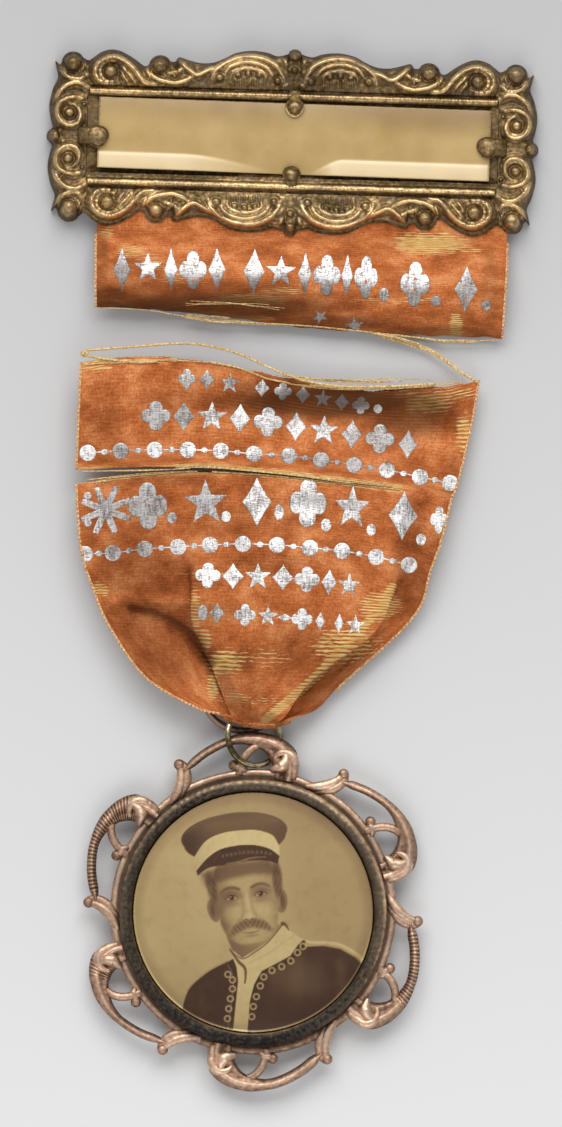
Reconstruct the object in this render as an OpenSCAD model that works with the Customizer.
// Ribbon badge: a stamped brass bar with a bare name card, a torn silk ribbon, and a domed picture
// button in an openwork frame that hangs from two rings.
// It lies face up. +X is the viewer's right, +Y runs towards the bar, +Z is up, and z = 0 is the
// surface that it lies on. All sizes are in millimetres, and angles are in degrees.

/* [Bar] */
// Distance of the bar's middle from the middle of the badge
bar_y = 54.55; // [54:0.05:56]
// Turn of the bar as it lies
bar_turn = -1.7; // [-3:0.1:0]
// Thickness of the wall round the hollow back
bar_wall = 0.7; // [0.5:0.1:0.9]
// Height of the hollow back's roof
roof_z = 2.4; // [2.35:0.05:2.5]
// Height of the recess floor
floor_z = 2.75; // [2.7:0.05:2.8]
// Height of the stamped field round the scrolls
field_z = 3.1; // [2.9:0.1:3.3]
// Height of the ribs above the field
rib_h = 0.8; // [0.5:0.1:1.1]
// Distance of the rails from the bar's middle
rail_y = 5.65; // [5.5:0.05:5.8]
// Half the length of the rails
rail_x = 26; // [25:0.5:26.5]
// Radius of the domed tabs at the top and bottom of the card
tab_r = 0.95; // [0.8:0.05:1.1]

/* [Card] */
// Length of the card
card_w = 49.8; // [48:0.1:51]
// Width of the card
card_h = 8.8; // [8.4:0.1:9.2]
// Thickness of the card
card_t = 0.3; // [0.2:0.05:0.35]
// Rise of the arched card at its middle
card_rise = 0.6; // [0.3:0.05:0.65]

/* [Ribbon] */
// Thickness of the cloth wall
cloth_t = 1; // [1:0.05:1.1]
// Columns of the cloth surface
cloth_columns = 20; // [16:2:30]
// Radius of the loose strand at its root
strand_r = 0.36; // [0.25:0.01:0.4]

/* [Rings] */
// Radius of the ring in the ribbon's end, to the middle of its wire
hanger_r = 5.2; // [5:0.1:5.4]
// Wire radius of that ring
hanger_wire = 0.45; // [0.4:0.05:0.5]
// Radius of the jump ring, to the middle of its wire
jump_r = 3.7; // [3.6:0.05:3.8]
// Wire radius of the jump ring
jump_wire = 0.35; // [0.3:0.05:0.4]
// Tilt of the jump ring
jump_tilt = 28; // [26:1:29]

/* [Pendant] */
// Middle of the button
button_x = -5; // [-6:0.5:-4]
// Distance of the button's middle from the middle of the badge
button_y = -43.25; // [-44:0.25:-42]
// Outer radius of the rim
rim_r = 17; // [16.8:0.1:17.2]
// Radius of the picture
picture_r = 15.2; // [15:0.1:15.3]
// Height of the picture's edge
picture_edge_z = 4.1; // [3.9:0.1:4.2]
// Height of the dome over that edge
picture_rise = 1.6; // [1.2:0.1:1.8]
// Outer radius of the flange
flange_r = 18.1; // [17.9:0.1:18.4]
// Height of the openwork frame's back
frame_z = 2.1; // [2.1:0.05:2.2]
// Thickness of its sheet
frame_t = 0.5; // [0.4:0.05:0.55]
// Height of its ribs above the sheet
frame_rib_h = 0.6; // [0.3:0.1:0.8]

/* [Hidden] */

brass = "#94743a";
rose_gold = "#a8816a";
silk = "#c4692c";
straw = "#cdb06a";
cream = "#cdb583";
gap = 0.1;
over = 1;

function mix(a, b, u) = a + (b - a) * u;
function clamp(u) = max(0, min(1, u));
function smooth(u) = let (v = clamp(u)) v * v * (3 - 2 * v);
function arc(c, rx, ry, from, to, steps) =
    [for (i = [0:steps]) let (a = mix(from, to, i / steps)) [c[0] + rx * cos(a), c[1] + ry * sin(a)]];
function polar(a, r) = [r * cos(a), r * sin(a)];
function reversed(p) = [for (i = [len(p) - 1:-1:0]) p[i]];

// A smooth row of values through the rows p, which may be numbers, points or lists of points
function blend4(a, b, c, d, t) =
    0.5 * (2 * b + (c - a) * t + (2 * a - 5 * b + 4 * c - d) * t * t
    + (3 * b - a - 3 * c + d) * t * t * t);
function flow_at(p, s) =
    let (last = len(p) - 1, i = min(floor(s), last - 1), t = s - i)
    blend4(p[max(i - 1, 0)], p[i], p[i + 1], p[min(i + 2, last)], t);
function flow(p, n) = [for (i = [0:(len(p) - 1) * n]) flow_at(p, i / n)];

// Triangles of a closed skin over n rings of s points each
function skin(n, s) = concat(
    [for (k = [1:s - 2]) [0, k + 1, k]],
    [for (k = [1:s - 2]) let (z = (n - 1) * s) [z, z + k, z + k + 1]],
    [for (i = [0:n - 2], k = [0:s - 1]) let (a = i * s + k, b = i * s + (k + 1) % s) [a, b, b + s]],
    [for (i = [0:n - 2], k = [0:s - 1]) let (a = i * s + k, b = i * s + (k + 1) % s) [a, b + s, a + s]]);

// A raised rib along a line of [x, y, half width, height] on the level z0, rooted drop below it
module rib(line, z0, drop = 0.25) {
    n = len(line);
    sides = [for (i = [0:n - 1])
        let (a = line[max(i - 1, 0)], b = line[min(i + 1, n - 1)], d = [a[1] - b[1], b[0] - a[0]])
        d / norm(d)];
    form = [[-1, 0], [-0.5, 1], [0.5, 1], [1, 0]];
    polyhedron([for (i = [0:n - 1], f = form)
        let (p = line[i], w = p[2] * f[0])
        [p[0] + sides[i][0] * w, p[1] + sides[i][1] * w, f[1] > 0 ? z0 + p[3] : z0 - drop]],
        skin(n, len(form)));
}

// A line of points given one half width and one height
function drawn(points, w, h) = [for (p = points) [p[0], p[1], w, h]];

// A low ball of radius r and height h on the level z0
module ball(place, r, h, z0) {
    translate([place[0], place[1], z0]) scale([1, 1, h / r]) sphere(r, $fn = r < 0.7 ? 6 : 8);
}

// One quarter of the bar's outline, from the middle of its upper edge to the middle of its side
quarter = concat(
    arc([0, 11], 0.95, 0.95, 90, 20, 2),
    [[2.2, 11], [3.5, 11.4], [5.5, 11.6], [7.5, 11.25], [9, 10.5], [10.4, 9.95], [12, 9.85],
    [13.4, 10.15], [14.8, 10.55], [15.2, 9.9]],
    arc([17.1, 9.2], 1.5, 1.5, 150, 10, 3),
    [[19.2, 9.3], [20.5, 10.2], [22, 11], [23.3, 11.25], [24.6, 10.9], [25.6, 10.2], [26.2, 9.8]],
    arc([28.2, 9.35], 1.5, 1.5, 150, 0, 4),
    [[30.3, 9], [30.1, 7.5], [30.7, 6], [31.1, 4], [30.9, 2.3], [30.6, 1.2]],
    arc([30.4, 0], 0.95, 0.95, 50, 0, 1));
function facing(p, sx, sy) = [for (q = p) [q[0] * sx, q[1] * sy]];
function all_quarters(p) = concat(p, reversed(facing(p, 1, -1)), facing(p, -1, -1),
    reversed(facing(p, -1, 1)));
bar_outline = all_quarters(quarter);
// The hollow back follows every second point of the outline
bar_hollow = all_quarters([for (i = [0:2:len(quarter) - 1]) quarter[i]]);

// Ribs of one quarter: a shell of two arches, a horn, and four scrolls, as [line, half width]
bar_ribs = [
    [arc([5.9, 7.6], 4.5, 3.4, 172, 8, 6), 0.35],
    [arc([5.8, 7.9], 3.1, 2.1, 160, 20, 4), 0.3],
    [[[10.4, 9], [12.2, 8.3], [14.6, 10]], 0.3],
    [[[18.6, 9.6], [18.4, 8.4], [17.5, 7.6], [15.5, 7.2], [13.6, 7.5], [12.8, 8]], 0.35],
    [[[19.2, 7.1], [20.5, 9], [22, 10.2], [23.5, 10.5], [24.9, 9.9], [25.6, 8.7], [25.2, 7.6], [23.6, 7]],
        0.35],
    [[[19.9, 7.2], [21.2, 8.4], [22.2, 9]], 0.28],
    [[[29.8, 8.7], [29, 7.7], [27.5, 7.2]], 0.28],
    [[[26.2, 6.3], [28, 6.6], [29.6, 5.6], [30.1, 4.7]], 0.35],
    [[[27, 4.6], [28.6, 4.6], [29.8, 4], [30.1, 2.8], [29.3, 1.6], [28, 1.3], [27.2, 2.1], [27.4, 3.2]],
        0.3]];
// Balls of one quarter, as [x, y, radius]
bar_balls = [[2.1, 7.9, 0.6], [9.5, 8.1, 0.6], [17.1, 9.2, 0.95], [15.4, 8.2, 0.4], [23.3, 8.3, 0.9],
    [28.2, 9.3, 1.15], [28.4, 2.9, 0.7]];
// Petals of the shell, as [x at the top, x at the root]
petals = [[4.3, 4.9], [5.8, 5.8], [7.3, 6.7]];
recess = [52.4, 10.4];
// The ribbon leaves the bar through this gap in its lower wall, as [from x, to x]
ribbon_gap = [-26.6, 28.6];
side_tab = [24.7, 1.15];
end_tab_y = 4.3;
tab_top = 4.8;

module bar_quarter() {
    for (r = bar_ribs) rib(drawn(r[0], r[1], rib_h), field_z);
    for (b = bar_balls) ball(b, b[2], b[2] * 0.9 + 0.15, field_z);
    for (p = petals) hull() {
        ball([p[0], 8.45], 0.48, 0.7, field_z);
        ball([p[1], 7.25], 0.3, 0.4, field_z);
    }
}

module bar_tabs() {
    for (s = [-1, 1]) {
        translate([0, s * end_tab_y, 0]) hull() {
            translate([0, 0, 3.45]) cylinder(r = tab_r, h = 0.3, $fn = 10);
            translate([0, 0, tab_top - 0.1]) cylinder(r = tab_r * 0.5, h = 0.1, $fn = 10);
            translate([-0.7, s > 0 ? 0.9 : -1.1, 3.45]) cube([1.4, 0.2, 0.5]);
        }
        translate([s * side_tab[0], 0, 0]) hull() {
            translate([0, 0, 3.85]) cylinder(r = side_tab[1], h = 0.4, $fn = 12);
            translate([0, 0, tab_top - 0.1]) cylinder(r = side_tab[1] * 0.5, h = 0.1, $fn = 12);
            translate([s > 0 ? 1.8 : -2.2, -0.8, 3.85]) cube([0.4, 1.6, 0.4]);
        }
        translate([s * (recess[0] / 2 + 0.6) - 0.6, -0.8, floor_z]) cube([1.2, 1.6, 1.5]);
    }
}

module bar_frame() {
    color(brass) translate([0, bar_y, 0]) rotate(bar_turn) {
        difference() {
            union() {
                linear_extrude(field_z) polygon(bar_outline);
                for (sx = [0, 1], sy = [0, 1]) mirror([sx, 0, 0]) mirror([0, sy, 0]) bar_quarter();
                for (s = [-1, 1]) {
                    rib([[-rail_x, s * rail_y, 0.5, 1], [rail_x, s * rail_y, 0.5, 1]], field_z);
                    ball([0, s * 11], 0.8, 0.9, field_z);
                    ball([s * 30.4, 0], 0.85, 0.9, field_z);
                }
            }
            translate([-recess[0] / 2, -recess[1] / 2, floor_z]) cube([recess[0], recess[1], over * 5]);
            translate([0, 0, -over]) linear_extrude(roof_z + over)
                offset(delta = -bar_wall) polygon(bar_hollow);
            translate([ribbon_gap[0], -13, -over])
                cube([ribbon_gap[1] - ribbon_gap[0], 9, roof_z + over]);
        }
        bar_tabs();
    }
}

module name_card() {
    r = pow(card_h / 2, 2) / (2 * card_rise) + card_rise / 2;
    color(cream) translate([0, bar_y, 0]) rotate(bar_turn - 0.4) translate([0.2 - card_w / 2, 0.25, 0])
        rotate([90, 0, 90]) linear_extrude(card_w) intersection() {
            translate([0, floor_z + 0.02 + card_rise - r]) difference() {
                circle(r + card_t, $fn = 90);
                circle(r, $fn = 90);
            }
            translate([-card_h / 2, 0]) square([card_h, 10]);
        }
}

pin_x = 17;
pin_wire = 0.38;
strip = [59.3, 7, 0.35];
strip_z = 0.86;

module brooch_pin() {
    color("goldenrod") translate([0, bar_y, 0]) rotate(bar_turn) translate([0, 1.2, 0]) {
        translate([-strip[0] / 2, -strip[1] / 2, strip_z]) cube(strip);
        translate([-pin_x - 2, -1.6, 0.03]) cube([3.4, 3.2, strip_z]);
        translate([pin_x - 1, -1.2, 0.03]) cube([2.6, 2.4, strip_z]);
        translate([-pin_x, 0, pin_wire + 0.05]) rotate([0, 90, 0])
            cylinder(r = pin_wire, h = 2 * pin_x, $fn = 24);
    }
}

// A point across the cloth from four points at 0, 1/3, 2/3 and 1 of the width
function across(p, u) =
    -4.5 * (u - 1 / 3) * (u - 2 / 3) * (u - 1) * p[0] + 13.5 * u * (u - 2 / 3) * (u - 1) * p[1]
    - 13.5 * u * (u - 1 / 3) * (u - 1) * p[2] + 4.5 * u * (u - 1 / 3) * (u - 2 / 3) * p[3];

// Triangles of a cloth wall with n rows and m columns: the top, the back and the four edges
function wall_faces(n, m) = let (b = n * m, e = (n - 1) * m) concat(
    [for (i = [0:n - 2], k = [0:m - 2]) let (a = i * m + k) [a, a + 1, a + m + 1]],
    [for (i = [0:n - 2], k = [0:m - 2]) let (a = i * m + k) [a, a + m + 1, a + m]],
    [for (i = [0:n - 2], k = [0:m - 2]) let (a = b + i * m + k) [a, a + m + 1, a + 1]],
    [for (i = [0:n - 2], k = [0:m - 2]) let (a = b + i * m + k) [a, a + m, a + m + 1]],
    [for (k = [0:m - 2]) [k, b + k, b + k + 1]],
    [for (k = [0:m - 2]) [k, b + k + 1, k + 1]],
    [for (k = [0:m - 2]) [e + k, e + k + 1, b + e + k + 1]],
    [for (k = [0:m - 2]) [e + k, b + e + k + 1, b + e + k]],
    [for (i = [0:n - 2]) let (a = i * m) [a, a + m, b + a + m]],
    [for (i = [0:n - 2]) let (a = i * m) [a, b + a + m, b + a]],
    [for (i = [0:n - 2]) let (a = i * m + m - 1) [a, b + a, b + a + m]],
    [for (i = [0:n - 2]) let (a = i * m + m - 1) [a, b + a + m, a + m]]);

// A cloth wall under a grid of points, cloth_t thick
module cloth(grid) {
    n = len(grid);
    m = len(grid[0]);
    top = [for (row = grid, p = row) p];
    back = [for (p = top) [p[0], p[1], p[2] - cloth_t]];
    polyhedron(concat(top, back), wall_faces(n, m));
}

// Rows of the upper ribbon, from its hidden end down to the tear.
// Columns: left edge x and y, right edge x and y, height at the left, middle and right
upper_rows = [
    [-24.6, 56.3, 27.8, 55.3, 2.3, 2.3, 2.3],
    [-24.8, 44.9, 27.4, 43.9, 2.3, 2.3, 2.3],
    [-24.9, 42.0, 27.2, 40.9, 2.5, 2.35, 2.3],
    [-24.9, 39.3, 27.1, 38.0, 3.5, 3.2, 2.9],
    [-24.9, 36.6, 26.9, 34.9, 4.0, 3.7, 3.2],
    [-24.9, 34.7, 26.7, 31.8, 3.2, 3.0, 2.6],
    [-24.9, 33.5, 26.6, 29.3, 2.1, 1.8, 1.6]];
upper_steps = 2;

module ribbon_upper() {
    color(silk) cloth([for (row = flow(upper_rows, upper_steps)) [for (k = [0:cloth_columns / 2])
        let (u = k * 2 / cloth_columns)
        [mix(row[0], row[2], u), mix(row[1], row[3], u),
        (1 - u) * (1 - 2 * u) * row[4] + 4 * u * (1 - u) * row[5] + u * (2 * u - 1) * row[6]]]]);
}

// Weft lines of the lower ribbon, from the tear down to the gathered end.
// Columns: the points at 0, 1/3, 2/3 and 1 of the width
lower_lines = [
    [[-26.7, 26.4], [-10.0, 26.4], [6.7, 23.2], [23.6, 24.3]],
    [[-27.0, 20.8], [-10.4, 21.0], [6.2, 18.7], [22.5, 18.0]],
    [[-27.2, 15.1], [-11.1, 15.3], [4.8, 14.0], [20.8, 11.0]],
    [[-27.3, 12.0], [-11.4, 12.9], [4.4, 11.6], [19.9, 8.5]],
    [[-27.1, 7.2], [-11.5, 7.8], [3.8, 7.1], [18.9, 4.3]],
    [[-26.6, 2.2], [-12.0, 3.3], [2.5, 2.9], [17.3, -0.3]],
    [[-25.2, -2.1], [-12.0, -2.1], [3.0, -2.6], [16.3, -4.1]],
    [[-23.2, -6.8], [-11.8, -7.4], [2.5, -7.9], [13.4, -7.8]],
    [[-18.6, -13.3], [-10.0, -14.0], [-0.3, -14.5], [7.6, -14.2]],
    [[-12.3, -17.1], [-8.5, -18.0], [-3.4, -18.4], [3.2, -17.3]],
    [[-9.0, -18.0], [-6.7, -18.7], [-3.9, -19.2], [-0.1, -18.5]]];
// Heights of the same lines. Columns: left edge, left hollow, middle panel at its left edge, middle
// and right edge, right flap, and the places of the left and the right fold across the width
lower_heights = [
    [4.4, 4.3, 4.1, 3.0, 2.3, 2.6, 0.30, 0.92],
    [4.5, 4.4, 4.2, 3.0, 2.0, 2.2, 0.30, 0.92],
    [4.5, 4.4, 4.3, 4.2, 3.5, 2.8, 0.30, 0.92],
    [4.2, 4.1, 4.2, 4.5, 4.3, 3.1, 0.30, 0.92],
    [4.4, 3.8, 4.0, 4.6, 4.6, 3.2, 0.30, 0.92],
    [4.4, 3.6, 4.4, 4.9, 4.8, 3.2, 0.30, 0.92],
    [4.3, 2.6, 4.7, 4.9, 4.8, 2.4, 0.30, 0.92],
    [4.2, 2.2, 4.9, 4.7, 4.7, 1.9, 0.31, 0.91],
    [4.2, 3.7, 5.0, 4.5, 4.6, 2.0, 0.37, 0.85],
    [4.5, 4.5, 4.9, 4.5, 4.5, 2.6, 0.40, 0.79],
    [4.8, 4.9, 4.9, 4.6, 4.5, 3.6, 0.42, 0.79]];
lower_steps = 2;
fold_w = 0.07;

function lower_height(h, u) =
    let (left = mix(h[0], h[1], smooth(u / (0.6 * h[6]))),
        s = clamp((u - h[6]) / (h[7] - h[6])),
        panel = (1 - s) * (1 - 2 * s) * h[2] + 4 * s * (1 - s) * h[3] + s * (2 * s - 1) * h[4],
        inner = mix(left, panel, smooth((u - h[6]) / fold_w + 0.5)))
    mix(inner, h[5], smooth((u - h[7]) / fold_w + 0.5));

// The slit that opens from the left edge, as [x, y, half width]
slit = [[-28.5, 11.9, 1.0], [-25.5, 12.1, 0.75], [-20, 12.5, 0.52], [-14.5, 12.75, 0.35],
    [-10.2, 12.85, 0.26], [-6.3, 12.65, 0.18], [-2.5, 12.25, 0.16], [1.8, 11.83, 0.17],
    [6.2, 11.35, 0.16], [10.9, 10.8, 0.16], [15.2, 10.2, 0.16]];
hanger_at = [-6.3, -15.05];
hanger_z = 1.55;
hanger_lean = -1.2;
// The stitched fold that holds the hanger ring: its width, and its walls' places along Y
fold_loop_w = 4.4;
fold_south = [-12.4, -11.4];
fold_north = [-7.6, -6.6];
fold_back = [0.08, 0.83];

module stitched_fold() {
    translate([hanger_at[0] - fold_loop_w / 2, 0, 0]) {
        for (w = [fold_south, fold_north])
            translate([0, w[0], fold_back[0]]) cube([fold_loop_w, w[1] - w[0], 4]);
        translate([0, fold_south[0], fold_back[0]])
            cube([fold_loop_w, fold_north[1] - fold_south[0], fold_back[1] - fold_back[0]]);
    }
}

module ribbon_lower() {
    lines = flow(lower_lines, lower_steps);
    heights = flow(lower_heights, lower_steps);
    color(silk) {
        difference() {
            cloth([for (i = [0:len(lines) - 1]) [for (k = [0:cloth_columns])
                let (u = k / cloth_columns, p = across(lines[i], u))
                [p[0], p[1], lower_height(heights[i], u)]]]);
            linear_extrude(8) polygon(concat([for (p = slit) [p[0], p[1] + p[2]]],
                reversed([for (p = slit) [p[0], p[1] - p[2]]])));
        }
        stitched_fold();
    }
}

// The loose strand's route, as [x, y, z, radius]
strand_route = [[11.8, 30.0, 1.2, 1], [14, 29.3, 1.1, 1], [17, 28.3, 1, 0.9], [19.4, 26.9, 1.1, 0.75],
    [21.2, 25.5, 1.5, 0.65], [22.75, 24.4, 2.05, 0.6]];
strand_sides = 8;

// A round tube along a route of [x, y, z, radius factor] that never runs straight up
module strand(route) {
    n = len(route);
    points = [for (i = [0:n - 1], k = [0:strand_sides - 1])
        let (a = route[max(i - 1, 0)], b = route[min(i + 1, n - 1)], d = [a[1] - b[1], b[0] - a[0]] ,
            s = d / norm(d), t = k * 360 / strand_sides, r = strand_r * route[i][3])
        [route[i][0] + s[0] * r * cos(t), route[i][1] + s[1] * r * cos(t), route[i][2] - r * sin(t)]];
    polyhedron(points, skin(n, strand_sides));
}

module weft_strand() {
    color(straw) strand(flow(strand_route, 2));
}

module torus(r, wire) {
    rotate_extrude($fn = 72) translate([r, 0]) circle(wire, $fn = 32);
}

module hanger_ring() {
    color(rose_gold) translate([hanger_at[0], hanger_at[1], hanger_z]) rotate([0, hanger_lean, 90])
        torus(hanger_r, hanger_wire);
}

jump_at = [-4.9, -21.0, 2.12];
jump_low_side = 19;

module jump_ring() {
    color(brass) translate(jump_at) rotate([0, jump_tilt, jump_low_side]) torus(jump_r, jump_wire);
}

// One scroll unit of the openwork, as [degrees, radius] from the unit's head: the crescent's outer
// and inner outline, the curl at its head, its crest, the branch, and the end wave
units = 6;
first_head = 77.5;
crescent_out = [[-5, 18.6], [-4, 19.7], [-3, 20.9], [0, 21.8], [5, 22.5], [12, 22.85],
    [20, 22.5], [28, 21.65], [35, 20.7], [38, 20.3]];
crescent_in = [[4, 17.2], [5, 18.7], [6.8, 19.8], [10, 20.7], [16, 21.3], [22, 21.25], [30, 20.6],
    [38, 19.6]];
crescent_crest = [[-1.5, 19.2], [-2.2, 20.3], [0, 21.4], [6, 22.15], [15, 22.25], [27, 21.4],
    [37, 20.3]];
inner_crest = [[3.6, 17.9], [4.4, 19.2], [6.6, 20.4], [10.5, 21.3]];
branch = [[12.8, 21.2], [15.2, 20.1], [17, 18.9], [18.6, 17.6]];
wave = [[44, 17.6], [41, 18.6], [38.8, 19.6], [38.6, 20.6]];
curl = [1.2, 19.3, 0.8];
flange_hole_r = 14;
flange_sides = 36;
knob_sides = 6;
// How far above the sheet's back a rib or knob is rooted
seat = 0.06;
branch_knob = [19.8, 18.7, 0.6];
wave_knob = [39.8, 21.1, 0.72];

function placed(p) = polar(p[0], p[1]);

module knob(k, h) {
    p = placed(k);
    translate([p[0], p[1], 0]) hull() {
        translate([0, 0, frame_z + seat]) cylinder(r = k[2], h = frame_t, $fn = knob_sides);
        translate([0, 0, frame_z + frame_t + h - 0.1]) cylinder(r = k[2] * 0.5, h = 0.1, $fn = knob_sides);
    }
}

// Turns a unit to each of its places round the button
module all_round() {
    for (k = [0:units - 1]) rotate(first_head + k * 360 / units) children();
}

module scroll_unit() {
    top = frame_z + frame_t;
    root = frame_t - seat;
    rib(drawn([for (p = crescent_crest) placed(p)], 0.36, frame_rib_h), top);
    rib(drawn([for (p = inner_crest) placed(p)], 0.3, frame_rib_h - 0.05), top);
    rib(drawn([for (p = branch) placed(p)], 0.4, 0.25), top, root);
    rib(drawn([for (p = wave) placed(p)], 0.5, 0.45), top, root);
    knob(curl, 0.7);
    knob(branch_knob, 0.4);
    knob(wave_knob, 0.65);
}

module filigree() {
    z = frame_z + 2 * seat;
    color(rose_gold) translate([button_x, button_y, 0]) {
        translate([0, 0, frame_z]) linear_extrude(frame_t) {
            difference() {
                circle(flange_r - 0.4, $fn = flange_sides);
                circle(flange_hole_r, $fn = flange_sides);
            }
            all_round() polygon([for (p = concat([[-5, 17.2]], crescent_out, reversed(crescent_in)))
                placed(p)]);
        }
        all_round() scroll_unit();
        rotate_extrude($fn = flange_sides) polygon([[rim_r + 0.3, z], [flange_r, z],
            [flange_r - 0.35, frame_z + frame_t + 0.33], [rim_r + 0.1, frame_z + frame_t - 0.1]]);
    }
}

module button_rim() {
    bulge = (rim_r - picture_r - gap) / 2;
    middle = picture_r + gap + bulge;
    foot = frame_z + frame_t;
    color("#57503c") translate([button_x, button_y, 0]) rotate_extrude($fn = 120) {
        translate([middle - bulge, foot]) square([2 * bulge - 0.05, 1.1]);
        translate([middle - bulge, foot + 0.6]) square([0.35, 1.4]);
        translate([middle, foot + 1.1]) circle(bulge, $fn = 48);
    }
}

module picture() {
    foot = frame_z + frame_t;
    shell = 0.6;
    r = pow(picture_r, 2) / (2 * picture_rise) + picture_rise / 2;
    color("#a48c5e") translate([button_x, button_y, 0]) {
        rotate_extrude($fn = 120) intersection() {
            translate([0, picture_edge_z + picture_rise - r]) difference() {
                circle(r, $fn = 360);
                circle(r - shell, $fn = 360);
            }
            translate([0, foot]) square([picture_r, 10]);
        }
        translate([0, 0, foot]) rotate_extrude($fn = 120)
            translate([picture_r - shell, 0]) square([shell, picture_edge_z - foot - 0.2]);
    }
}

module button_back() {
    r = picture_r;
    shell = 0.6;
    color(brass) translate([button_x, button_y, 0]) rotate_extrude($fn = 120)
        polygon([[0, 0], [r - 0.9, 0], [r, 0.9], [r, frame_z], [r - shell, frame_z], [r - shell, 1.1],
            [r - 1.2, shell], [0, shell]]);
}

bar_frame();
name_card();
brooch_pin();
ribbon_upper();
weft_strand();
ribbon_lower();
hanger_ring();
jump_ring();
filigree();
button_rim();
picture();
button_back();
